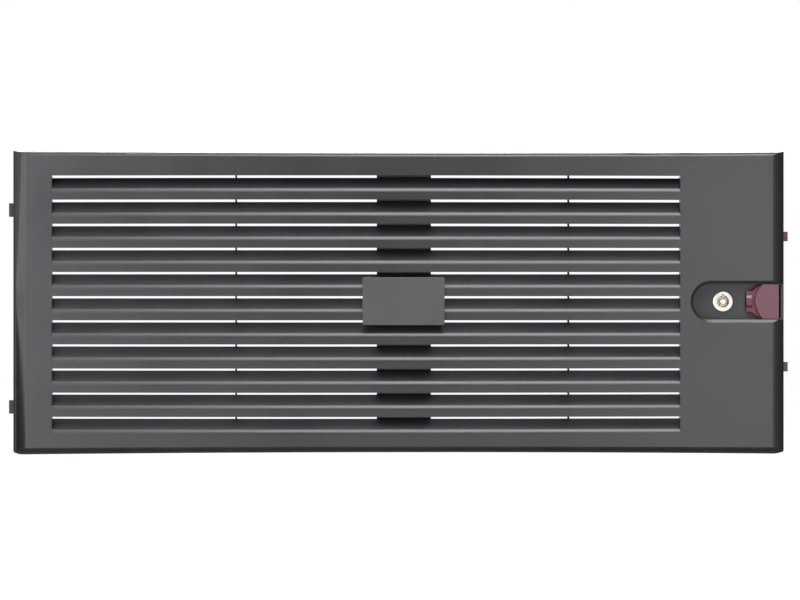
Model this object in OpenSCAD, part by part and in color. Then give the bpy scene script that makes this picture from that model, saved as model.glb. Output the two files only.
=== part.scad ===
// Louvred front bezel for a 4U rack server, with a spring latch and a tubular key lock.
// +X is to the right, +Z is up and the front faces -Y. The origin is the middle of the rear rim's plane.

/* [Bezel] */
// Width over the two side walls
bezel_w = 443; // [440:1:446]
// Height at the rear rim
bezel_h = 176.5; // [174:0.5:177]
// Depth from the rear rim to the middle of the bowed front
bezel_d = 30; // [29:0.5:32]
// Radius of the bow of the front, seen from above
face_r = 2760; // [2700:10:2900]
// Wall thickness of the moulding
wall_t = 2.5; // [2.3:0.1:2.7]
// Slope of the top and bottom walls, in degrees
wall_slope = 7; // [6:0.5:7.5]
// Radius of the two upright edges
side_edge_r = 9; // [8:0.5:9.5]
// Radius of the long top and bottom edges
long_edge_r = 3; // [2:0.5:3.5]
// Rise of the arched bottom edge in the middle
bottom_arch = 1.7; // [1:0.1:2]

/* [Louvre] */
// Number of slots
slots = 11; // [9:1:11]
// Height from one slot to the next
slot_pitch = 13.78; // [13.5:0.02:14]
// Upper edge of the top slot
top_slot_z = 72; // [71:0.1:73]
// Clear height of a slot, seen level from the front
slot_gap = 1.2; // [1:0.02:1.6]
// Left end of the slots
slot_left = -198.8; // [-200:0.1:-197]
// Right end of the slots
slot_right = 160.6; // [159:0.1:162]
// Thickness of a slat
slat_t = 2.2; // [2:0.1:2.4]
// Height of a slat's flat front
slat_front_h = 3.35; // [3:0.05:3.8]
// Outer radius of a slat's bend
slat_bend_r = 5.05; // [4.6:0.05:5.4]
// Slope of a slat's leaf, in degrees
leaf_slope = 42; // [40:1:45]

/* [Latch and lock] */
// Middle of the lock, to the right of the bezel's middle
lock_x = 185.9; // [185:0.1:187]
// Half the height of the thumb pocket
pocket_r = 10.3; // [10:0.1:10.6]
// Width of the bevel round the pocket's rim
pocket_rim_w = 1.7; // [1:0.1:1.9]
// Travel of the latch
latch_travel = 4; // [3:0.5:4]
// Height of the two latch tongues above and below the middle
tongue_z = 37.6; // [36:0.1:39]
// Reach of the tongues and hooks past the side walls
catch_reach = 2.8; // [2:0.1:3]

/* [Hidden] */
$fn = 64;

half_w = bezel_w / 2;
half_h = bezel_h / 2;
cut = 1;                                    // how far a cutter runs past the face it opens
skim = 0.08;                                // keeps a cutter's round off being tangent to a face
sweep_half = 5.2;                           // half of the sweep angle that spans the whole width
sweep_fn = 720;
section_fn = 72;                            // facets of a round that is drawn in a swept section
bow_axis_y = face_r - bezel_d;
edge_z = half_h - bezel_d * tan(wall_slope);            // front top edge before it is rounded
edge_sweep_r = face_r * cos(wall_slope) - edge_z * sin(wall_slope) / 2;
top_corner_r = 3;
bottom_corner_r = 4;

// Slat section: depth is measured back from the face, z from the slot's upper edge
bend_x = slat_bend_r;
nose_start = 12;                            // the nose leaves the flat front at this angle
bend_turn = 90 - leaf_slope;
bend_z = slat_front_h - slot_pitch;
nose_x = bend_x - slat_bend_r * cos(nose_start);
nose_z = bend_z + slat_bend_r * sin(nose_start);
bend_top_x = bend_x - slat_bend_r * cos(bend_turn);
bend_top_z = bend_z + slat_bend_r * sin(bend_turn);
louvre_depth = bend_top_x + (-slot_gap - bend_top_z) / tan(leaf_slope);
under_r = slat_bend_r - slat_t;
under_x = bend_x - under_r * cos(bend_turn);
under_z = slat_front_h + under_r * sin(bend_turn);
louvre_wall = 2.4;

rib_x = [-93.7, 96.8];
rib_w = 1;
rib_depth = 13;
spine_x = [-13.2, 17.8];
spine_depth = 11.6;

badge_w = 46.7;
badge_h = 27.2;
badge_x = 1.9;
badge_z = 0.2;
badge_t = 1;
badge_corner_r = 1.2;
tape_t = 0.5;
badge_seat_y = -bezel_d + 0.3;
badge_margin = 1.2;

hook_z = [52.6, -60.5];
hook_h = 7.75;
hook_y = [-9.6, -4.2];

pocket_floor_y = -16;
pocket_left = 178.4;                        // centre of the pocket's round end
pocket_rim_d = 1.1;
pocket_turn = asin(pocket_left / face_r);
stem_x = [204, 216.5];
stem_half_h = 6.5;
window_x = [stem_x[0] - latch_travel - 0.9, 219.4];
window_half_h = 9.6;
window_r = 42;                              // bow of the window's left edge

bar_x = [206, 212];
bar_y = [-9.5, -6.5];
arm_h = 9;
bar_half_h = tongue_z + arm_h / 2;
tongue_h = 5.5;
tongue_y = [-10, -5.5];
fit = 0.3;
pad_y = -18.6;
pad_x = [203.7, 217.9];
pad_arc_r = 14.8;
pad_half_h = 10;
pad_edge_r = 0.9;
pad_tilt = 6;
groove_w = 1.4;
back_plate_x = [197.8, half_w - wall_t - 0.3];
back_plate_y = [pocket_floor_y + wall_t + 0.3, pocket_floor_y + wall_t + 2.3];
back_plate_half_h = 11;

spring_z = 24;
spring_y = (bar_y[0] + bar_y[1]) / 2;
spring_seat_x = 192.5;
spring_coil_r = 2.25;
spring_wire_r = 0.35;
spring_turns = 7;
post_r = 1.4;
post_l = 4;

cover_y = [-5.2, -3.2];
cover_x = [191, half_w - wall_t - 0.4];
cover_half_h = 54;
cover_notch_r = 17;
screw_x = [195, 214];
screw_z = 49;
boss_r = 3.2;
screw_r = 1.2;

flange_r = 5.95;
flange_y = -18;
flange_edge_r = 0.7;
barrel_r = 4.8;
barrel_flat = 4.3;
barrel_end = -3.9;
keyway_r = 3.5;
key_post_r = 1.6;
pin_count = 7;
pin_ring_r = 2.5;
pin_r = 0.4;
pin_gap = 0.05;
head_y = [-12.5, -9.5];
sleeve_y = [-9.4, -5];
shaft_r = 1.4;
washer_y = pocket_floor_y + wall_t;
nut_y = washer_y + 0.6;
cam_y = [-3.7, -2.1];
cam_l = 14;

function arc(cx, cz, r, from, to, n) = [for (i = [0:n]) let (a = from + (to - from) * i / n)
    [cx + r * cos(a), cz + r * sin(a)]];
function bow_y(x) = bow_axis_y - sqrt(face_r * face_r - x * x);

// A sector swept about the bow's upright axis; the children are drawn as [depth behind the face, z]
module bow_sweep() {
    translate([0, bow_axis_y, 0]) rotate([0, 0, -90 - sweep_half])
        rotate_extrude(angle = 2 * sweep_half, $fn = sweep_fn)
            translate([face_r, 0]) mirror([1, 0]) children();
}

// A block given by its two ends along each axis
module block(x, y, z) {
    translate([x[0], y[0], z[0]]) cube([x[1] - x[0], y[1] - y[0], z[1] - z[0]]);
}

// Extrudes an outline drawn in X and Z from one Y to another
module along_y(from, to) {
    translate([0, to, 0]) rotate([90, 0, 0]) linear_extrude(to - from) children();
}

// What rounding takes off a corner; the round's centre is at the origin and the corner towards +, +
module round_off(r) {
    difference() {
        square(r + cut);
        circle(r = r, $fn = section_fn);
    }
}

// Turned parts of the lock: a cylinder on the lock's axis
module lock_round(r, from, to) {
    translate([lock_x, to, 0]) rotate([90, 0, 0]) cylinder(r = r, h = to - from);
}

// ---- the shell's outer form ----

// Sloping top wall and rounded long edge in one sweep, over the upper half of the bezel.
// Its axis is square to the top wall, so the edge runs back and up towards both ends.
module upper_form() {
    intersection() {
        translate([0, edge_sweep_r * cos(wall_slope) - bezel_d, edge_z + edge_sweep_r * sin(wall_slope)])
            rotate([wall_slope, 0, 0]) rotate([0, 0, -90 - sweep_half])
                rotate_extrude(angle = 2 * sweep_half, $fn = sweep_fn) upper_section();
        block([-half_w - cut, half_w + cut], [-bezel_d - cut, cut], [0, half_h + cut]);
    }
}

// Section of that sweep, in the frame of the sloping wall: the wall is level and the front leans out
module upper_section() {
    reach = edge_z + 12;
    back = edge_sweep_r - 45;
    front_r = edge_sweep_r + skim / cos(wall_slope);
    round_x = front_r - long_edge_r * (1 - sin(wall_slope)) / cos(wall_slope);
    ray = long_edge_r + 2 * cut;
    difference() {
        polygon([[back, 0], [front_r, 0], [front_r + reach * sin(wall_slope), -reach * cos(wall_slope)],
                 [back, -reach * cos(wall_slope)]]);
        translate([round_x, -long_edge_r]) difference() {
            polygon([[0, 0], [0, ray], [ray, ray], ray * [cos(wall_slope), sin(wall_slope)]]);
            circle(r = long_edge_r, $fn = section_fn);
        }
    }
}

// Elevation of the bezel, arched along the bottom; inset moves every edge inwards
module elevation(inset, grow) {
    w = half_w - inset + grow;
    top = half_h - inset + grow;
    r_top = max(top_corner_r - inset, 0.6);
    r_bottom = max(bottom_corner_r - inset, 0.6);
    steps = 20;
    arch_w = w - r_bottom;
    arch_end = -half_h + inset - grow + bottom_arch * (1 - pow(arch_w / half_w, 2));
    polygon(concat(
        [for (i = [0:steps]) let (x = arch_w * (2 * i / steps - 1))
            [x, -half_h + inset - grow + bottom_arch * (1 - pow(x / half_w, 2))]],
        arc(arch_w, arch_end + r_bottom, r_bottom, -75, 0, 5),
        arc(w - r_top, top - r_top, r_top, 0, 90, 6),
        arc(r_top - w, top - r_top, r_top, 90, 180, 6),
        arc(-arch_w, arch_end + r_bottom, r_bottom, 180, 255, 5)));
}

// Plan of the bezel: bowed front, straight sides, rounded where they meet
module plan(inset) {
    r = side_edge_r - inset;
    x = half_w - side_edge_r;
    y = bow_axis_y - sqrt(pow(face_r - side_edge_r, 2) - x * x);
    difference() {
        intersection() {
            translate([0, bow_axis_y]) circle(r = face_r - inset, $fn = 2 * sweep_fn);
            translate([-half_w + inset, -bezel_d - cut]) square([bezel_w - 2 * inset, bezel_d + 2 * cut]);
        }
        for (side = [-1, 1])
            difference() {
                translate([side > 0 ? x : -x - side_edge_r - cut, y - side_edge_r - cut])
                    square(side_edge_r + cut);
                translate([side * x, y]) circle(r = r);
            }
    }
}

module outer_form() {
    intersection() {
        union() {
            upper_form();
            mirror([0, 0, 1]) upper_form();
        }
        translate([0, 0, -half_h - cut]) linear_extrude(bezel_h + 2 * cut) plan(0);
        along_y(-bezel_d - cut, 0) elevation(0, 0.05);
    }
}

module cavity() {
    drop = wall_t / cos(wall_slope);
    front_z = half_h - drop - (bezel_d + cut) * tan(wall_slope);
    rear_z = half_h - drop + cut * tan(wall_slope);
    intersection() {
        translate([0, 0, -half_h]) linear_extrude(bezel_h) plan(wall_t);
        along_y(-bezel_d, cut) elevation(wall_t, 0);
        translate([-half_w, 0, 0]) rotate([90, 0, 90]) linear_extrude(bezel_w)
            polygon([[-bezel_d - cut, -front_z], [cut, -rear_z], [cut, rear_z], [-bezel_d - cut, front_z]]);
    }
}

// ---- the louvre ----

function slot_top(k) = top_slot_z - k * slot_pitch;

// Section of the open space between two slats, whose upper edge at the face is at z
module slot_section(z) {
    back = louvre_depth + 0.6;
    step = 0.4;
    difference() {
        union() {
            polygon([[-1.5, z + nose_z - step / tan(nose_start)], [-1.5, z], [bend_x - under_r, z],
                     [bend_x - under_r, z + slat_front_h], [under_x, z + under_z],
                     [back, z + under_z + (back - under_x) * tan(leaf_slope)],
                     [back, z - slot_gap + (back - louvre_depth) * tan(leaf_slope)],
                     [bend_top_x, z + bend_top_z], [nose_x + step, z + nose_z + step / tan(nose_start)],
                     [nose_x - step, z + nose_z - step / tan(nose_start)]]);
            translate([bend_x, z + slat_front_h]) circle(r = under_r, $fn = 40);
        }
        translate([bend_x, z + bend_z]) circle(r = slat_bend_r, $fn = section_fn);
    }
}

// Thick band behind the face that the slats are cut from; it ends under the lowest leaf
module louvre_band() {
    low = slot_top(slots);
    intersection() {
        bow_sweep() polygon(concat(
            [[wall_t / 2, slot_top(0) - 0.2], [louvre_depth, slot_top(0) - 0.2],
             [louvre_depth, low + under_z + (louvre_depth - under_x) * tan(leaf_slope)]],
            arc(bend_x, low + slat_front_h, under_r, 180 - bend_turn, 180, 5),
            [[wall_t / 2, low + slat_front_h]]));
        block([slot_left - louvre_wall, slot_right + louvre_wall], [-bezel_d - cut, 0], [-half_h, half_h]);
    }
}

// The ground left solid behind the badge, shrunk by inset all round
module badge_ground(inset, y) {
    w = badge_w / 2 - badge_margin - inset;
    h = badge_h / 2 - badge_margin - inset;
    block([badge_x - w, badge_x + w], y, [badge_z - h, badge_z + h]);
}

// The slots themselves, left solid where the badge is stuck on
module slot_openings() {
    difference() {
        intersection() {
            bow_sweep() for (k = [0:slots - 1]) slot_section(slot_top(k));
            block([slot_left, slot_right], [-bezel_d - 2, 0], [-half_h, half_h]);
        }
        badge_ground(0, [-bezel_d - 3, cut]);
    }
}

// Thin upright ribs and the wide spine that tie the leaves together at the back
module louvre_ties() {
    tie_z = [-half_h, half_h];
    for (x = rib_x)
        block([x - rib_w / 2, x + rib_w / 2], [bow_y(x) + 6.5, bow_y(x) + rib_depth], tie_z);
    block(spine_x, [-bezel_d + 6.5, -bezel_d + spine_depth], tie_z);
}

// ---- the latch side of the shell ----

// Outline of the thumb pocket: round at the left, open at the side wall
module pocket_outline(grow) {
    translate([pocket_left, 0]) circle(r = pocket_r + grow);
    translate([pocket_left, -pocket_r - grow]) square([half_w - pocket_left + cut, 2 * (pocket_r + grow)]);
}

// Bevel along the pocket's rim: a cone round its left end, and a band that follows the bow to the side
module pocket_bevel() {
    slope = pocket_rim_w / pocket_rim_d;
    past = 0.3;
    outer = pocket_r + pocket_rim_w + cut * slope;
    inner = pocket_r - past * slope;
    floor_r = face_r - pocket_rim_d - past;
    translate([0, bow_axis_y, 0]) rotate([0, 0, pocket_turn - 90]) {
        rotate_extrude(angle = sweep_half, $fn = sweep_fn)
            polygon([[face_r + cut, -outer], [face_r + cut, outer], [floor_r, inner], [floor_r, -inner]]);
        intersection() {
            translate([floor_r, 0, 0]) rotate([0, 90, 0])
                cylinder(r1 = inner, r2 = outer, h = pocket_rim_d + past + cut);
            block([floor_r - cut, face_r + 2 * cut], [-2 * outer, 0], [-2 * outer, 2 * outer]);
        }
    }
}

// Window in the pocket's floor that the thumb button stands in
module button_window() {
    along_y(pocket_floor_y - cut, pocket_floor_y + wall_t + cut) intersection() {
        translate([window_x[0], -window_half_h]) square([window_x[1] - window_x[0], 2 * window_half_h]);
        translate([window_x[0] + window_r, 0]) circle(r = window_r, $fn = 180);
    }
}

// Solid round the pocket, left inside the shell: its walls and its floor
module pocket_walls() {
    along_y(-bezel_d, pocket_floor_y + wall_t) pocket_outline(2);
}

// Ribs that guide the latch, ledges that it slides on, seats for its springs and posts for its cover
module latch_guides() {
    front = -bezel_d;
    for (side = [-1, 1]) mirror([0, 0, side < 0 ? 1 : 0]) {
        inner = tongue_z - arm_h / 2 - fit;
        outer = tongue_z + arm_h / 2 + fit;
        block([bar_x[1] + 0.6, half_w], [front, cover_y[0] - 0.2], [inner - 1.5, inner]);
        block([200, half_w], [front, cover_y[0] - 0.2], [outer, outer + 1.5]);
        for (x = [203, 211])
            block([x, x + 1.4], [front, bar_y[0] - 0.2], [inner - 1, outer + 1]);
    }
    for (z = [-spring_z, spring_z]) {
        block([spring_seat_x - 2, spring_seat_x], [front, cover_y[0] - 0.2], [z - 5, z + 5]);
        translate([spring_seat_x - 1, spring_y, z]) rotate([0, 90, 0]) cylinder(r = post_r, h = post_l + 1);
    }
    for (x = screw_x, z = [-screw_z, screw_z])
        translate([x, cover_y[0], z]) rotate([90, 0, 0]) cylinder(r = boss_r, h = bezel_d);
}

// Everything cut out of the latch side: pocket, button window, lock hole, tongue slots, screw holes
module latch_cuts() {
    along_y(-bezel_d - cut, pocket_floor_y) pocket_outline(0);
    pocket_bevel();
    button_window();
    intersection() {
        lock_round(barrel_r + 0.15, pocket_floor_y - cut, pocket_floor_y + wall_t + cut);
        block([lock_x - barrel_flat - 0.1, lock_x + barrel_flat + 0.1], [-bezel_d, 0], [-half_h, half_h]);
    }
    for (z = [-tongue_z, tongue_z])
        block([half_w - wall_t - cut, half_w + cut], [tongue_y[0] - fit, tongue_y[1] + fit],
              [z - tongue_h / 2 - fit, z + tongue_h / 2 + fit]);
    for (x = screw_x, z = [-screw_z, screw_z])
        translate([x, cover_y[0] + cut, z]) rotate([90, 0, 0]) cylinder(r = screw_r + 0.05, h = 9);
}

// Hook on the left wall, with a lead-in on its rear corner
module side_hook(z) {
    translate([0, 0, z - hook_h / 2]) linear_extrude(hook_h) polygon([
        [-half_w + 1, hook_y[0]], [-half_w - catch_reach, hook_y[0]],
        [-half_w - catch_reach, hook_y[0] + 2.2], [-half_w - catch_reach + 1.6, hook_y[1]],
        [-half_w + 1, hook_y[1]]]);
}

module front_shell() {
    color([0.27, 0.27, 0.28]) {
        difference() {
            outer_form();
            difference() {
                cavity();
                louvre_band();
                louvre_ties();
                pocket_walls();
                latch_guides();
            }
            slot_openings();
            badge_ground(2, [louvre_depth - bezel_d - 5, cut]);
            along_y(-bezel_d - cut, badge_seat_y) badge_outline(0.25);
            latch_cuts();
        }
        for (z = hook_z) side_hook(z);
    }
}

// ---- badge ----

module badge_outline(grow) {
    w = badge_w / 2 + grow;
    h = badge_h / 2 + grow;
    r = badge_corner_r + grow;
    translate([badge_x, badge_z]) difference() {
        square([2 * w, 2 * h], center = true);
        for (sx = [0, 1], sz = [0, 1]) mirror([sx, 0]) mirror([0, sz])
            translate([w - r, h - r]) round_off(r);
    }
}

module badge_tape() {
    color([0.12, 0.12, 0.12]) along_y(badge_seat_y - tape_t, badge_seat_y) badge_outline(-0.8);
}

module badge_plate() {
    back = badge_seat_y - tape_t;
    color([0.24, 0.24, 0.25]) along_y(back - badge_t, back) badge_outline(0);
}

// ---- latch ----

// Tongue with a slope behind, so that it springs in as the bezel is pushed on
module tongue(z) {
    tip = half_w + catch_reach;
    translate([0, 0, z - tongue_h / 2]) linear_extrude(tongue_h) polygon([
        [half_w - 4, tongue_y[0]], [tip, tongue_y[0]], [tip, tongue_y[0] + 1.4],
        [half_w + 0.4, tongue_y[1]], [half_w - 4, tongue_y[1]]]);
}

// Raised pad of the button: part of a tilted disc with a rounded edge, which bows towards the lock
module latch_pad() {
    middle_x = pad_x[0] + pad_arc_r;
    top_y = -19.8;
    thick = 3.4;
    intersection() {
        translate([middle_x, top_y + thick, 0]) rotate([0, 0, pad_tilt]) rotate([90, 0, 0])
            rotate_extrude($fn = 96) difference() {
                square([pad_arc_r, thick]);
                translate([pad_arc_r - pad_edge_r, thick - pad_edge_r]) round_off(pad_edge_r);
            }
        block([pad_x[0] - cut, pad_x[1]], [-bezel_d, 0], [-pad_half_h, pad_half_h]);
    }
}

// One moulding: bar, two arms with tongues, and the thumb button that comes out through the window
module latch_slider() {
    neck_y = pocket_floor_y - 0.4;
    neck_x = window_x[0] + 0.2;
    neck_r = 6.2;
    color([0.36, 0.09, 0.15]) {
        block(bar_x, bar_y, [-bar_half_h, bar_half_h]);
        for (z = [-tongue_z, tongue_z]) {
            block([bar_x[0], half_w - wall_t - fit], bar_y, [z - arm_h / 2, z + arm_h / 2]);
            tongue(z);
        }
        block(stem_x, [neck_y - 0.5, bar_y[1]], [-stem_half_h, stem_half_h]);
        // plate behind the pocket's floor, which closes the window round the button
        block(back_plate_x, back_plate_y, [-back_plate_half_h, back_plate_half_h]);
        // flared base of the button
        along_y(pad_y, neck_y) polygon([
            [neck_x, -5.9], [neck_x + 3.3, -6.1], [neck_x + 8.1, -pad_half_h], [pad_x[1], -pad_half_h],
            [pad_x[1], pad_half_h], [neck_x + 8.1, pad_half_h], [neck_x + 3.3, 6.1], [neck_x, 5.9]]);
        latch_pad();
        // rounded grip between the pad and the lock, cut off by a groove along the pad
        difference() {
            intersection() {
                translate([neck_x, pad_y + 5.1, 0]) rotate([0, 90, 0]) cylinder(r = neck_r, h = 6);
                block([neck_x - cut, pad_x[0] + 0.5], [-22, pad_y + 0.3], [-5.7, 5.7]);
            }
            translate([pad_x[0] + pad_arc_r, pad_y, 0]) rotate([90, 0, 0])
                cylinder(r = pad_arc_r + groove_w, h = 5);
        }
        for (z = [-spring_z, spring_z])
            translate([bar_x[0] - post_l, spring_y, z]) rotate([0, 90, 0])
                cylinder(r = post_r, h = post_l + 1);
    }
}

// Compression spring along X, swept as rings of points that follow the coil
module coil(x, z) {
    sides = 8;
    steps = 16;
    n = spring_turns * steps;
    length = bar_x[0] - spring_seat_x - 0.1 - 2 * spring_wire_r;
    points = [for (i = [0:n]) let (a = 360 * i / steps) for (j = [0:sides - 1])
        let (b = 360 * j / sides, r = spring_coil_r + spring_wire_r * cos(b))
        [length * i / n + spring_wire_r * sin(b), r * cos(a), r * sin(a)]];
    walls = [for (i = [0:n - 1], j = [0:sides - 1]) let (k = (j + 1) % sides)
        [i * sides + j, i * sides + k, (i + 1) * sides + k, (i + 1) * sides + j]];
    ends = [[for (j = [0:sides - 1]) sides - 1 - j], [for (j = [0:sides - 1]) n * sides + j]];
    translate([x + 0.05 + spring_wire_r, spring_y, z]) polyhedron(points, concat(walls, ends));
}

module spring_upper() { color([0.72, 0.73, 0.75]) coil(spring_seat_x, spring_z); }
module spring_lower() { color([0.72, 0.73, 0.75]) coil(spring_seat_x, -spring_z); }

// Flat cover that keeps the latch and its springs in, notched round the turning cam
module latch_cover() {
    color([0.1, 0.1, 0.11]) difference() {
        along_y(cover_y[0], cover_y[1]) difference() {
            translate([cover_x[0], -cover_half_h]) square([cover_x[1] - cover_x[0], 2 * cover_half_h]);
            translate([lock_x, 0]) circle(r = cover_notch_r);
            for (x = screw_x, z = [-screw_z, screw_z]) translate([x, z]) circle(r = screw_r + 0.3);
        }
    }
}

module cover_screws() {
    head_h = 1.6;
    color([0.2, 0.2, 0.21]) for (x = screw_x, z = [-screw_z, screw_z]) translate([x, cover_y[1], z])
        rotate([-90, 0, 0]) difference() {
            union() {
                cylinder(r = 2.7, h = head_h);
                translate([0, 0, -9]) cylinder(r = screw_r, h = 10);
            }
            for (a = [0, 90]) rotate([0, 0, a])
                translate([-1.6, -0.3, head_h - 0.9]) cube([3.2, 0.6, 2]);
        }
}

// ---- lock ----

// Barrel with two flats and a flange; the keyway is the ring round the centre post
module lock_housing() {
    color([0.86, 0.85, 0.82]) difference() {
        union() {
            translate([lock_x, pocket_floor_y, 0]) rotate([90, 0, 0]) rotate_extrude() difference() {
                square([flange_r, pocket_floor_y - flange_y]);
                translate([flange_r, pocket_floor_y - flange_y] - flange_edge_r * [1, 1])
                    round_off(flange_edge_r);
            }
            intersection() {
                lock_round(barrel_r, pocket_floor_y - cut, barrel_end);
                block([lock_x - barrel_flat, lock_x + barrel_flat], [-bezel_d, 0], [-half_h, half_h]);
            }
        }
        lock_round(keyway_r, flange_y - cut, barrel_end - 1);
        lock_round(shaft_r + 0.2, barrel_end - 2, barrel_end + cut);
        // notch for the lug of the key
        block([lock_x - 0.6, lock_x + 0.6], [flange_y - cut, head_y[0] - 2], [0, keyway_r + 0.8]);
        translate([lock_x, -7, -barrel_r - cut]) cylinder(r = 0.45, h = barrel_r);
    }
}

// Places its child at each pin of the ring
module pin_ring() {
    for (i = [0:pin_count - 1]) rotate([0, 360 * i / pin_count - 90, 0])
        translate([pin_ring_r, 0, 0]) children();
}

module pin(r, from, to) {
    translate([lock_x, 0, 0]) pin_ring() translate([0, to, 0]) rotate([90, 0, 0])
        cylinder(r = r, h = to - from, $fn = 24);
}

// Fixed ring behind the spindle's head, with blind holes for the driver pins
module lock_sleeve() {
    color([0.78, 0.66, 0.35]) difference() {
        lock_round(keyway_r - 0.02, sleeve_y[0], sleeve_y[1]);
        lock_round(shaft_r + 0.1, sleeve_y[0] - cut, sleeve_y[1] + cut);
        pin(pin_r + pin_gap, sleeve_y[0] - cut, sleeve_y[1] - 0.8);
        translate([lock_x, -7, -keyway_r - cut]) cylinder(r = 0.45, h = 2);
    }
}

module sleeve_pin() {
    color([0.72, 0.73, 0.75]) translate([lock_x, -7, -barrel_r + 0.1]) cylinder(r = 0.43, h = 2.1, $fn = 24);
}

// Centre post, pin head, shaft, square for the cam and threaded tail, turned as one
module lock_spindle() {
    square_w = 1.5;
    color([0.86, 0.85, 0.82]) {
        difference() {
            union() {
                lock_round(key_post_r, flange_y + 0.3, head_y[0] + 0.5);
                lock_round(keyway_r - 0.1, head_y[0], head_y[1]);
            }
            pin(pin_r + pin_gap, head_y[0] - cut, head_y[1] + cut);
            // drive slot in the rim of the post
            block([lock_x - 0.4, lock_x + 0.4], [flange_y - cut, flange_y + 3], [key_post_r - 0.6, keyway_r]);
        }
        lock_round(shaft_r, head_y[1] - 0.5, barrel_end + 0.2);
        block([lock_x - square_w, lock_x + square_w], [barrel_end + 0.05, cam_y[1]], [-square_w, square_w]);
        lock_round(shaft_r, cam_y[1] - 0.5, -0.1);
    }
}

module key_pins() { color([0.8, 0.7, 0.4]) pin(pin_r, -14.2, -9.6); }
module driver_pins() { color([0.8, 0.7, 0.4]) pin(pin_r, -9.3, -8.1); }

module pin_springs() {
    color([0.72, 0.73, 0.75]) difference() {
        pin(pin_r - 0.03, -8.05, -5.85);
        pin(pin_r - 0.18, -9, -5);
    }
}

// Washer with inner teeth under the lock's nut
module lock_washer() {
    teeth = 8;
    color([0.72, 0.73, 0.75]) difference() {
        lock_round(7.4, washer_y, nut_y);
        lock_round(barrel_r + 0.15, washer_y - cut, nut_y + cut);
        translate([lock_x, nut_y + cut, 0]) for (i = [0:teeth - 1]) rotate([90, 360 * (i + 0.5) / teeth, 0])
            translate([barrel_r - 0.5, -0.6, 0]) cube([1.5, 1.2, 3]);
    }
}

module hex_nut(flats, bore, from, to) {
    difference() {
        translate([lock_x, to, 0]) rotate([90, 0, 0]) cylinder(r = flats / 2 / cos(30), h = to - from, $fn = 6);
        lock_round(bore, from - cut, to + cut);
    }
}

module lock_nut() { color([0.72, 0.73, 0.75]) hex_nut(13, barrel_r + 0.05, nut_y, nut_y + 3); }

// Cam that points down when the lock is open
module lock_cam() {
    hole = 1.55;
    color([0.72, 0.73, 0.75]) difference() {
        along_y(cam_y[0], cam_y[1]) translate([lock_x, 0]) {
            circle(r = 5);
            translate([-4, -cam_l + 4]) square([8, cam_l - 4]);
            translate([0, -cam_l + 4]) circle(r = 4);
        }
        block([lock_x - hole, lock_x + hole], [cam_y[0] - cut, cam_y[1] + cut], [-hole, hole]);
    }
}

module cam_washer() {
    color([0.72, 0.73, 0.75]) difference() {
        lock_round(3.4, cam_y[1], cam_y[1] + 0.5);
        lock_round(shaft_r + 0.1, cam_y[1] - cut, cam_y[1] + cut);
    }
}

module cam_nut() { color([0.72, 0.73, 0.75]) hex_nut(5.5, shaft_r + 0.04, cam_y[1] + 0.5, -0.2); }

front_shell();
badge_tape();
badge_plate();
latch_slider();
spring_upper();
spring_lower();
latch_cover();
cover_screws();
lock_housing();
lock_sleeve();
sleeve_pin();
lock_spindle();
key_pins();
driver_pins();
pin_springs();
lock_washer();
lock_nut();
lock_cam();
cam_washer();
cam_nut();
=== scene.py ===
import math

import bmesh
import bpy
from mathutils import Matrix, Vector


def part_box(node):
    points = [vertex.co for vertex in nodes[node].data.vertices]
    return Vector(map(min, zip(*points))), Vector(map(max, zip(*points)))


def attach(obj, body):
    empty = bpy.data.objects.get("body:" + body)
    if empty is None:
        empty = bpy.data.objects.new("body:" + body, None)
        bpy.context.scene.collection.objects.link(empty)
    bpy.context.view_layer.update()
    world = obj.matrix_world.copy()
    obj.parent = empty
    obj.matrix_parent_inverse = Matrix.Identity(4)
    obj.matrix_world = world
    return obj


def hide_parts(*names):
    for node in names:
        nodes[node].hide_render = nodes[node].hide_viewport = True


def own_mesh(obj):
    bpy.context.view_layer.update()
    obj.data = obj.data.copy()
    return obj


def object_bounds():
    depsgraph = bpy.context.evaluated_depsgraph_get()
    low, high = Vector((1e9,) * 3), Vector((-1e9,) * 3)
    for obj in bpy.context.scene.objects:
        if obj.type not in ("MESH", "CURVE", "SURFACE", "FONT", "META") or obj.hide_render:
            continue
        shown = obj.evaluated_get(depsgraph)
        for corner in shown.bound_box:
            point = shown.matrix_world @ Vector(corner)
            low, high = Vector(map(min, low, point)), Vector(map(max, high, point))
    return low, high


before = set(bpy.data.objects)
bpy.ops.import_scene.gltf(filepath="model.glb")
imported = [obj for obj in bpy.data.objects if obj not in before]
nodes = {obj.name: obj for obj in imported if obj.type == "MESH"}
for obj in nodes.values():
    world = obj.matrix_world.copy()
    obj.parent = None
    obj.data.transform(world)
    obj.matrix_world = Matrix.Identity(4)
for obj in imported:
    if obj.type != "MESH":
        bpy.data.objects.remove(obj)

cad_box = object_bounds()


# ---- Camera ----
# A long lens two metres in front of the bezel, level with its middle and a touch to the left,
# so that the bowed front is seen almost flat.
camera_distance = 2.0
camera_yaw = math.radians(1.4)
view_width = 0.463
aim = Vector((0.0006, 0, 0.0009))

lens = bpy.data.cameras.new("front_camera")
lens.sensor_width = 36
lens.lens = lens.sensor_width * camera_distance / view_width
camera = bpy.data.objects.new("front_camera", lens)
bpy.context.scene.collection.objects.link(camera)
camera.location = aim + camera_distance * Vector((-math.sin(camera_yaw), -math.cos(camera_yaw), 0))
camera.rotation_euler = (aim - camera.location).to_track_quat("-Z", "Y").to_euler()
bpy.context.scene.camera = camera


# ---- Front shell ----
# The bezel itself: one injection moulding in black-grey ABS with a fine spark-eroded grain,
# satin all over, its shine drifting a little from place to place.
def wire(tree, *links):
    """Joins (node, output) to (node, input) pairs."""
    for source, out, target, into in links:
        tree.links.new(source.outputs[out], target.inputs[into])


def new_finish(name):
    finish = bpy.data.materials.new(name)
    finish.use_nodes = True
    tree = finish.node_tree
    return finish, tree, tree.nodes["Principled BSDF"]


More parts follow.
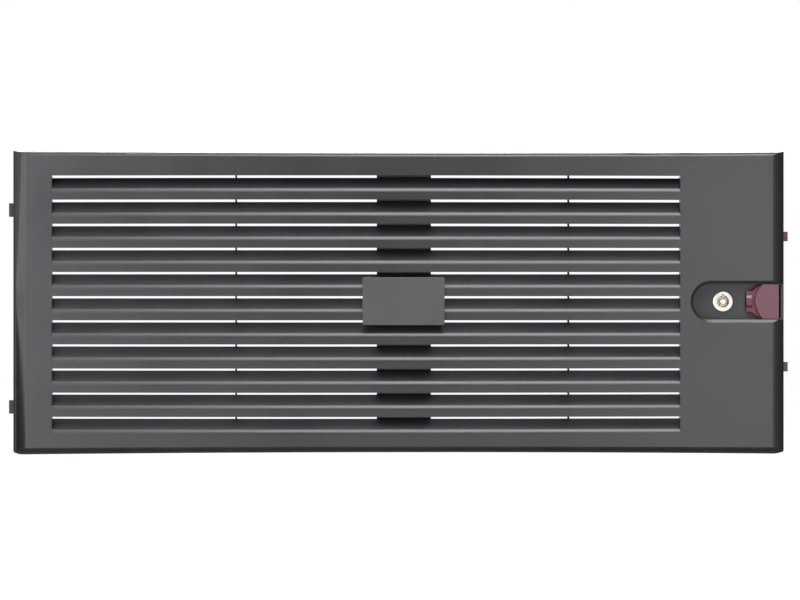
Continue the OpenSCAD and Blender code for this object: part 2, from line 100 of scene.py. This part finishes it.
def object_noise(tree, per_metre, detail=2.0, stretch=(1, 1, 1)):
    """Noise in the piece's own metres; stretch flattens it along an axis."""
    place = tree.nodes.new("ShaderNodeTexCoord")
    scaled = tree.nodes.new("ShaderNodeMapping")
    scaled.inputs["Scale"].default_value = stretch
    noise = tree.nodes.new("ShaderNodeTexNoise")
    noise.inputs["Scale"].default_value = per_metre
    noise.inputs["Detail"].default_value = detail
    wire(tree, (place, "Object", scaled, "Vector"), (scaled, "Vector", noise, "Vector"))
    return noise


def spread(tree, noise, low, high, into, socket, noise_low=0.35, noise_high=0.65):
    """Turns a noise into a range of one number."""
    span = tree.nodes.new("ShaderNodeMapRange")
    for name, value in zip(("From Min", "From Max", "To Min", "To Max"),
                           (noise_low, noise_high, low, high)):
        span.inputs[name].default_value = value
    wire(tree, (noise, "Fac", span, "Value"), (span, "Result", into, socket))


def tint(tree, noise, dark, light, shader):
    """Turns a noise into a drift between two colours."""
    blend = tree.nodes.new("ShaderNodeMix")
    blend.data_type = "RGBA"
    blend.inputs["A"].default_value = (*dark, 1)
    blend.inputs["B"].default_value = (*light, 1)
    tree.links.new(noise.outputs["Fac"], blend.inputs["Factor"])
    tree.links.new(blend.outputs["Result"], shader.inputs["Base Color"])


def grain(tree, shader, heights, soft_edge):
    """Stacks bumps of (noise, depth in metres) over a softened edge, and gives them to the shader."""
    normal = tree.nodes.new("ShaderNodeBevel")
    normal.samples = 6
    normal.inputs["Radius"].default_value = soft_edge
    for noise, depth in heights:
        bump = tree.nodes.new("ShaderNodeBump")
        bump.inputs["Distance"].default_value = depth
        wire(tree, (noise, "Fac", bump, "Height"), (normal, 0, bump, "Normal"))
        normal = bump
    tree.links.new(normal.outputs[0], shader.inputs["Normal"])


def moulded_plastic(name, dark, light, gloss_low, gloss_high, grain_depth, soft_edge):
    """Injection-moulded plastic: grained skin, slow drift of shade, patches rubbed smoother."""
    finish, tree, shader = new_finish(name)
    shader.inputs["IOR"].default_value = 1.5
    shader.inputs["Specular Tint"].default_value = (0.95, 0.96, 1.0, 1)
    fine = object_noise(tree, 2600, 3)
    coarse = object_noise(tree, 900, 1)
    drift = object_noise(tree, 22, 3)
    tint(tree, drift, dark, light, shader)
    spread(tree, drift, gloss_low, gloss_high, shader, "Roughness")
    grain(tree, shader, [(fine, grain_depth), (coarse, grain_depth)], soft_edge)
    return finish


def dress(node, finish):
    """Gives a node its finish in place of the plain one it was packed with."""
    piece = nodes[node]
    piece.data.materials.clear()
    piece.data.materials.append(finish)


shell_plastic = moulded_plastic("shell_plastic", (0.0145, 0.0150, 0.0165), (0.0180, 0.0186, 0.0202),
                                0.30, 0.36, 0.000012, 0.0002)
dress("front_shell", shell_plastic)

bow_r = 2.76
shell_low = Vector(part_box("front_shell")[0])
bow_axis_y = shell_low.y + bow_r
louvre_x = (-0.1990, 0.1608)
louvre_depth = 0.0137
slat_bend_r = 0.00505
slat_under_r = 0.00285
top_slot_z = 0.072
slat_front_h = 0.00335
slat_pitch = 0.01378
slats = 11
half_h = 0.08825
wall_slope = math.radians(7)
long_edge_r = 0.003
long_edge_skim = 0.00008

# The slats' fronts are rounded between these angles, in degrees up from straight forward.
bend_start, bend_end, bend_step = 12, 48, 4

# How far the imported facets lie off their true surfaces, and what counts as touching a cut.
facet_slack = 0.00003
bend_slack = 0.00004
weld = 1e-7
cut_clear = 1e-6

# The slats lie within this height and this much past the louvre's own depth, front and back.
louvre_half_h = 0.082
louvre_front_slack = 0.0001
louvre_back_slack = 0.0008
flat_across = 0.02

cut_length = 0.008


def straighten(co):
    """Lays the bow out flat: along the bow, depth behind the face, height."""
    y = bow_axis_y - co.y
    return Vector((bow_r * math.atan2(co.x, y), bow_r - math.hypot(co.x, y), co.z))


def bow(co):
    """The way back from the flat lay-out."""
    turn = co.x / bow_r
    r = bow_r - co.y
    return Vector((r * math.sin(turn), bow_axis_y - r * math.cos(turn), co.z))


def follows_bow(face):
    """True for a piece of the bowed face, or of a slat, in the flat lay-out."""
    points = [v.co for v in face.verts]
    if all(abs(p.y) < facet_slack for p in points):
        return True
    middle = sum(points, Vector()) / len(points)
    along = louvre_x[0] < middle.x < louvre_x[1]
    deep = -louvre_front_slack < middle.y < louvre_depth + louvre_back_slack
    return along and deep and abs(middle.z) < louvre_half_h and abs(face.normal.x) < flat_across


def cut_across(bm, faces, place, across):
    """Cuts the given faces, and only them, along one plane."""
    geom = {item for face in faces for item in [face, *face.edges, *face.verts]}
    bmesh.ops.bisect_plane(bm, geom=list(geom), dist=weld, plane_co=place, plane_no=across)


def bend_centre(k):
    """Centre of the round front of a slat, in the flat lay-out."""
    return Vector((0, slat_bend_r, top_slot_z + slat_front_h - slat_pitch * k))


def on_bend(face, centre):
    """True where a face is part of the front of the slat that bends about this centre."""
    middle = face.calc_center_median()
    arm = (middle.y - centre.y, middle.z - centre.z)
    angle = math.degrees(math.atan2(arm[1], -arm[0]))
    near = slat_bend_r * 0.98 < math.hypot(*arm) < slat_bend_r * 1.09
    return near and bend_start - 3 < angle < bend_end + 1


def fine_shell(step):
    """The shell with its long faces cut into short lengths and the slats' fronts bent to a true round.

    The corners keep their own normals, except where the true one is known.
    """
    bm = bmesh.new()
    bm.from_mesh(nodes["front_shell"].data)
    own = bm.loops.layers.float_vector.new("own")
    corners = iter(nodes["front_shell"].data.corner_normals)
    for face in bm.faces:
        for loop in face.loops:
            loop[own] = next(corners).vector
    bmesh.ops.remove_doubles(bm, verts=bm.verts, dist=weld)
    old = bm.verts.layers.int.new("old")
    home = bm.verts.layers.float_vector.new("home")
    swept = bm.faces.layers.int.new("swept")
    for v in bm.verts:
        v[old] = 1
        v[home] = v.co
        v.co = straighten(v.co)
    bm.normal_update()
    for face in bm.faces:
        face[swept] = follows_bow(face)
    half = cad_box[1][0]
    for k in range(int(2 * half / step)):
        x = step * (k + 0.5) - half
        crossed = [f for f in bm.faces if f[swept]
                   and min(v.co.x for v in f.verts) < x - cut_clear
                   and max(v.co.x for v in f.verts) > x + cut_clear]
        cut_across(bm, crossed, (x, 0, 0), (1, 0, 0))
    for k in range(slats):
        centre = bend_centre(k + 1)
        for degrees in range(bend_start, bend_end + 1, bend_step):
            a = math.radians(degrees)
            near = [f for f in bm.faces if f[swept] and on_bend(f, centre)]
            cut_across(bm, near, centre, (0, math.sin(a), math.cos(a)))
        for v in {v for f in bm.faces if f[swept] and on_bend(f, centre) for v in f.verts}:
            arm = Vector((0, v.co.y - centre.y, v.co.z - centre.z))
            angle = math.degrees(math.atan2(arm.z, -arm.y))
            if bend_start + 0.1 < angle < bend_end - 0.1 and arm.length > slat_bend_r:
                v.co = Vector((v.co.x, centre.y, centre.z)) + arm.normalized() * slat_bend_r
                v[old] = 0
    bmesh.ops.triangulate(bm, faces=[f for f in bm.faces if len(f.verts) > 4])
    bm.normal_update()
    normals = []
    for face in bm.faces:
        on_edge = not face[swept] and all(long_edge_normal(v[home]) for v in face.verts)
        for loop in face.loops:
            if face[swept]:
                normals.append(corner_normal(face, loop))
            elif on_edge:
                normals.append(long_edge_normal(loop.vert[home]))
            else:
                normals.append(loop[own].copy())
    for v in bm.verts:
        v.co = v[home] if v[old] else bow(v.co)
    mesh = bpy.data.meshes.new("bezel_moulding")
    bm.to_mesh(mesh)
    bm.free()
    mesh.polygons.foreach_set("use_smooth", [True] * len(mesh.polygons))
    mesh.normals_split_custom_set(normals)
    for layer in ("old", "home", "swept", "own"):
        mesh.attributes.remove(mesh.attributes[layer])
    return mesh


def long_edge_normal(co):
    """True normal on the rounded top and bottom edges, which are swept about an axis square to the walls."""
    side = 1 if co.z > 0 else -1
    c, s = math.cos(wall_slope), math.sin(wall_slope)
    edge_z = half_h + shell_low.y * s / c
    sweep_r = bow_r * c - edge_z * s / 2
    round_x = sweep_r + long_edge_skim / c - long_edge_r * (1 - s) / c
    y = co.y - sweep_r * c - shell_low.y
    z = side * co.z - edge_z - sweep_r * s
    out = math.hypot(co.x, y * c + z * s)
    arm = Vector((out - round_x, z * c - y * s + long_edge_r))
    if abs(arm.length - long_edge_r) > facet_slack:
        return None
    arm.normalize()
    forward = arm.x * (y * c + z * s) / out
    return Vector((arm.x * co.x / out, forward * c - arm.y * s, side * (forward * s + arm.y * c)))


def corner_normal(face, loop):
    """True normal of a slat or of the bowed face at a corner: radial on the rounds, else the flat's own."""
    k = round((top_slot_z + slat_front_h - face.calc_center_median().z) / slat_pitch)
    arms = [Vector((0, v.co.y, v.co.z)) - bend_centre(k) for v in face.verts]
    n = face.normal
    for r in (slat_bend_r, slat_under_r):
        if all(abs(arm.length - r) < bend_slack for arm in arms):
            arm = Vector((0, loop.vert.co.y, loop.vert.co.z)) - bend_centre(k)
            n = arm.normalized() * (1 if arm.dot(n) > 0 else -1)
    turn = loop.vert.co.x / bow_r
    return Vector((n.x * math.cos(turn) - n.y * math.sin(turn),
                   n.x * math.sin(turn) + n.y * math.cos(turn), n.z))


bezel_mesh = fine_shell(cut_length)
bezel_mesh.materials.clear()
bezel_mesh.materials.append(shell_plastic)
bezel = bpy.data.objects.new("bezel_moulding", bezel_mesh)
bpy.context.scene.collection.objects.link(bezel)
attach(bezel, "bezel")
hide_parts("front_shell")


# ---- Badge ----
# A blank plate moulded in the same black-grey plastic, smoother than the shell, held in the
# middle of the louvre by black foam tape.
badge_plastic = moulded_plastic("badge_plastic", (0.046, 0.045, 0.046), (0.052, 0.051, 0.052),
                                0.26, 0.30, 0.000004, 0.0004)
dress("badge_plate", badge_plastic)

foam = moulded_plastic("foam", (0.012, 0.012, 0.012), (0.018, 0.018, 0.018), 0.85, 0.95, 0.00006, 0.0001)
dress("badge_tape", foam)


# ---- Latch ----
# One burgundy moulding: the thumb button in the pocket, the bar behind it and the two tongues
# that stand out of the right side wall. Its springs are drawn steel wire.
latch_plastic = moulded_plastic("latch_plastic", (0.066, 0.010, 0.020), (0.080, 0.014, 0.026),
                                0.26, 0.32, 0.000004, 0.0004)
dress("latch_slider", latch_plastic)


def bare_metal(name, dark, light, gloss_low, gloss_high, marks_per_metre, marks_depth, soft_edge):
    """Plated or turned metal with fine marks and a slight drift of shine."""
    finish, tree, shader = new_finish(name)
    shader.inputs["Metallic"].default_value = 1.0
    marks = object_noise(tree, marks_per_metre, 3)
    drift = object_noise(tree, 140, 2)
    tint(tree, drift, dark, light, shader)
    spread(tree, drift, gloss_low, gloss_high, shader, "Roughness")
    grain(tree, shader, [(marks, marks_depth)], soft_edge)
    return finish


spring_steel = bare_metal("spring_steel", (0.42, 0.42, 0.44), (0.52, 0.52, 0.54), 0.2, 0.3,
                          3000, 0.000004, 0.00005)
for name in ("spring_upper", "spring_lower", "pin_springs", "sleeve_pin"):
    dress(name, spring_steel)

for name in ("spring_upper", "spring_lower"):
    coil = nodes[name].copy()
    coil.data = nodes[name].data.copy()
    coil.name = name + "_coil"
    bpy.context.scene.collection.objects.link(coil)
    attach(coil, "bezel")
    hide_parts(name)
    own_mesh(coil)

cover_plastic = moulded_plastic("cover_plastic", (0.014, 0.014, 0.015), (0.019, 0.019, 0.020),
                                0.38, 0.48, 0.00001, 0.0002)
dress("latch_cover", cover_plastic)

black_zinc = bare_metal("black_zinc", (0.055, 0.055, 0.058), (0.075, 0.075, 0.08), 0.3, 0.42,
                        2500, 0.000005, 0.0001)
dress("cover_screws", black_zinc)


# ---- Lock ----
# A small tubular key lock: nickel-plated zinc barrel with a turned flange, brass pins in the
# ring-shaped keyway, and a steel cam held by a nut at the back.
nickel = bare_metal("nickel", (0.56, 0.54, 0.48), (0.64, 0.61, 0.55), 0.30, 0.42, 1600, 0.000008, 0.0003)
for name in ("lock_housing", "lock_spindle"):
    dress(name, nickel)

brass = bare_metal("brass", (0.66, 0.47, 0.20), (0.74, 0.56, 0.28), 0.2, 0.3, 2400, 0.000005, 0.0001)
for name in ("lock_sleeve", "key_pins", "driver_pins"):
    dress(name, brass)

zinc = bare_metal("zinc", (0.50, 0.51, 0.54), (0.62, 0.63, 0.64), 0.25, 0.4, 1200, 0.00001, 0.0002)
for name in ("lock_washer", "lock_nut", "lock_cam", "cam_washer", "cam_nut"):
    dress(name, zinc)


# ---- Floor, background and lamps ----
# A pale floor well below the bezel, which hangs as in its rack, and a white studio. Five soft
# lamps light the front at about twice the plain level; four black cards, which only reflections
# see, stand behind the lens, at both sides and on the floor.
floor_z = -0.21
floor_glow = 0.75
studio_fill = 0.2
bpy.ops.mesh.primitive_plane_add(size=14, location=(0, 0, floor_z))
floor = bpy.context.object
floor.name = "floor"


def white_to_lens(tree):
    """A mix factor that is 1 for camera, glossy and transmission rays."""
    path = tree.nodes.new("ShaderNodeLightPath")
    first = tree.nodes.new("ShaderNodeMath")
    first.operation = "MAXIMUM"
    second = tree.nodes.new("ShaderNodeMath")
    second.operation = "MAXIMUM"
    tree.links.new(path.outputs["Is Camera Ray"], first.inputs[0])
    tree.links.new(path.outputs["Is Glossy Ray"], first.inputs[1])
    tree.links.new(first.outputs[0], second.inputs[0])
    tree.links.new(path.outputs["Is Transmission Ray"], second.inputs[1])
    return second


floor_paint, tree, shader = new_finish("floor_paint")
shader.inputs["Base Color"].default_value = (0.8, 0.8, 0.8, 1)
shader.inputs["Roughness"].default_value = 0.9
glow = tree.nodes.new("ShaderNodeEmission")
glow.inputs["Strength"].default_value = floor_glow
add = tree.nodes.new("ShaderNodeAddShader")
pick = tree.nodes.new("ShaderNodeMixShader")
seen = white_to_lens(tree)
wire(tree, (shader, 0, add, 0), (glow, 0, add, 1),
     (seen, 0, pick, 0), (shader, 0, pick, 1), (add, 0, pick, 2),
     (pick, 0, tree.nodes["Material Output"], "Surface"))
floor.data.materials.append(floor_paint)

world = bpy.data.worlds.new("studio")
world.use_nodes = True
bpy.context.scene.world = world
tree = world.node_tree
plain = tree.nodes["Background"]
plain.inputs["Color"].default_value = (1, 1, 1, 1)
plain.inputs["Strength"].default_value = studio_fill
white = tree.nodes.new("ShaderNodeBackground")
white.inputs["Color"].default_value = (1, 1, 1, 1)
white.inputs["Strength"].default_value = 1.0
pick = tree.nodes.new("ShaderNodeMixShader")
seen = white_to_lens(tree)
wire(tree, (seen, 0, pick, 0), (plain, 0, pick, 1), (white, 0, pick, 2),
     (pick, 0, tree.nodes["World Output"], "Surface"))


def softbox(name, azimuth, elevation, distance, width, height, radiance):
    """An area lamp that faces the bezel; azimuth runs from the front to the right, in degrees."""
    light = bpy.data.lights.new(name, "AREA")
    light.shape = "RECTANGLE"
    light.size = width
    light.size_y = height
    light.energy = radiance * math.pi * width * height
    lamp = bpy.data.objects.new(name, light)
    bpy.context.scene.collection.objects.link(lamp)
    a, e = math.radians(azimuth), math.radians(elevation)
    lamp.location = distance * Vector((math.sin(a) * math.cos(e), -math.cos(a) * math.cos(e), math.sin(e)))
    lamp.rotation_euler = (-lamp.location).to_track_quat("-Z", "Y").to_euler()
    lamp.visible_camera = False


card_black, tree, shader = new_finish("card_black")
shader.inputs["Base Color"].default_value = (0.01, 0.01, 0.01, 1)
shader.inputs["Roughness"].default_value = 1


def dark_card(name, corner, opposite):
    """A flat black card between two corners, upright or level, that only reflections see."""
    low, high = Vector(corner), Vector(opposite)
    mesh = bpy.data.meshes.new(name)
    level = low.z == high.z
    mesh.from_pydata([low, (high.x, low.y if level else high.y, low.z), high,
                      (low.x, high.y if level else low.y, high.z)], [], [(0, 1, 2, 3)])
    mesh.materials.append(card_black)
    card = bpy.data.objects.new(name, mesh)
    bpy.context.scene.collection.objects.link(card)
    card.visible_camera = False
    card.visible_shadow = False
    card.visible_diffuse = False
    card.visible_transmission = False


softbox("key_softbox", 14, 55, 1.8, 1.2, 1.1, 9.2)
softbox("left_softbox", -45, 14, 1.8, 1.2, 1.3, 6.6)
softbox("right_softbox", 25, 6, 1.9, 0.6, 1.0, 2.4)
softbox("back_softbox", 180, 26, 1.6, 3.0, 0.7, 1.8)
softbox("back_fill", 184, 40, 2.0, 2.0, 1.2, 6.0)
dark_card("card_behind_lens", (-0.66, -2.6, -1.5), (0.44, -2.6, 1.5))
dark_card("card_right", (0.7, -0.9, -1.0), (0.7, 2.6, 1.0))
dark_card("card_left", (-0.7, 0.2, -1.0), (-0.7, 2.6, 1.0))
dark_card("card_under", (-1.6, -0.3, floor_z + 0.002), (1.6, 2.6, floor_z + 0.002))

view = bpy.context.scene.view_settings
view.view_transform = "Standard"
